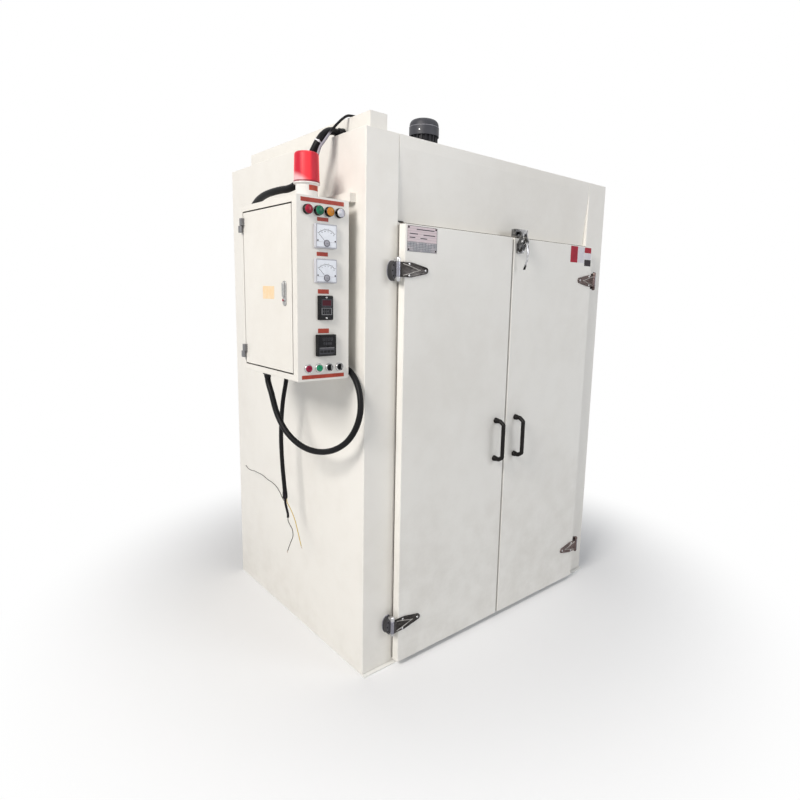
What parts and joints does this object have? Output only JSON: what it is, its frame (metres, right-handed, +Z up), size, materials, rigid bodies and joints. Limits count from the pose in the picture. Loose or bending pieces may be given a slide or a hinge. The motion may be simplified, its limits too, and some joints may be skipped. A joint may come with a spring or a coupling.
{
  "type": "trolley oven",
  "caption": "Insulated walk-in oven cabinet with hinged front doors, a control box and beacon on its left wall, and a fan motor and wire trunking on the roof.",
  "frame": {"origin": "on the floor, at the centre of the cabinet's footprint", "axes": "+Z up; the doors face -Y; the control box is on the -X side"},
  "size_m": [1.679, 1.1966, 2.2723],
  "materials": {
    "cream_paint": "satin powder coat",
    "floor_steel": "mill finish",
    "liner_steel": "brushed",
    "gasket_rubber": "matt",
    "hinge_steel": "polished",
    "latch_chrome": "polished",
    "black_plastic": "matt",
    "motor_paint": "satin",
    "lock_grey": "satin",
    "beacon_red": "clear red",
    "beacon_white": "gloss",
    "meter_white": "gloss",
    "button_red": "gloss",
    "button_green": "gloss",
    "cord_black": "satin",
    "wire_yellow": "satin",
    "wire_grey": "satin"
  },
  "bodies": {
    "oven": {"left_wall": "cream_paint", "right_wall": "cream_paint", "back_wall": "cream_paint", "roof_panel": "cream_paint", "header_panel": "cream_paint", "door_frame": "cream_paint", "roof_trunking": "cream_paint", "control_box": "cream_paint", "box_mounting_frame": "cream_paint", "instrument_panel": "cream_paint", "floor_plate": "floor_steel", "chamber_liner": "liner_steel", "fan_motor": "motor_paint", "motor_cowl": "motor_paint", "upper_meter": "meter_white", "lower_meter": "meter_white", "timer": "black_plastic", "temperature_controller": "black_plastic", "wall_gland": "black_plastic", "beacon_base": "beacon_white", "beacon_lens": "beacon_red", "left_upper_hinge_block": "hinge_steel", "left_lower_hinge_block": "hinge_steel", "right_upper_hinge_block": "hinge_steel", "right_lower_hinge_block": "hinge_steel", "latch_strike": "latch_chrome", "roof_conduit": "cord_black", "loop_conduit": "cord_black", "motor_cable": "cord_black", "power_cable": "cord_black", "cable_core": "cord_black", "dark_wire": "wire_grey", "grey_wire": "wire_grey", "yellow_wire": "wire_yellow"},
    "left_door": {"left_door": "cream_paint", "left_gasket": "gasket_rubber", "left_handle": "black_plastic", "left_upper_hinge_strap": "hinge_steel", "left_lower_hinge_strap": "hinge_steel"},
    "right_door": {"right_door": "cream_paint", "right_gasket": "gasket_rubber", "right_handle": "black_plastic", "right_upper_hinge_strap": "hinge_steel", "right_lower_hinge_strap": "hinge_steel", "latch_base": "latch_chrome"},
    "latch_lever": {"latch_lever": "latch_chrome"},
    "control_box_door": {"control_box_door": "cream_paint", "control_box_lock": "lock_grey"},
    "red_button": {"red_button": "button_red"},
    "green_button": {"green_button": "button_green"},
    "left_selector": {"left_selector": "black_plastic"},
    "right_selector": {"right_selector": "black_plastic"}
  },
  "joints": [
    {"name": "left_door_hinge", "type": "hinge", "parent": "oven", "child": "left_door", "pos_m": [-0.6035, -0.59, 0.02], "axis": [0, 0, -1], "range_deg": [0, 175]},
    {"name": "right_door_hinge", "type": "hinge", "parent": "oven", "child": "right_door", "pos_m": [0.6035, -0.59, 0.02], "axis": [0, 0, 1], "range_deg": [0, 175]},
    {"name": "latch_lever_pivot", "type": "hinge", "parent": "right_door", "child": "latch_lever", "pos_m": [0.035, -0.62, 1.68], "axis": [-1, 0, 0], "range_deg": [0, 90]},
    {"name": "control_box_door_hinge", "type": "hinge", "parent": "oven", "child": "control_box_door", "pos_m": [-0.958, -0.104, 1.157], "axis": [0, 0, -1], "range_deg": [0, 120]},
    {"name": "red_button_press", "type": "slide", "parent": "oven", "child": "red_button", "axis": [0, 1, 0], "range_m": [0, 0.004], "stiffness_N_per_m": 400},
    {"name": "green_button_press", "type": "slide", "parent": "oven", "child": "green_button", "axis": [0, 1, 0], "range_m": [0, 0.004], "stiffness_N_per_m": 400},
    {"name": "left_selector_turn", "type": "hinge", "parent": "oven", "child": "left_selector", "pos_m": [-0.833, -0.509, 1.2], "axis": [0, 1, 0], "range_deg": [-45, 45]},
    {"name": "right_selector_turn", "type": "hinge", "parent": "oven", "child": "right_selector", "pos_m": [-0.793, -0.509, 1.2], "axis": [0, 1, 0], "range_deg": [-45, 45]}
  ]
}
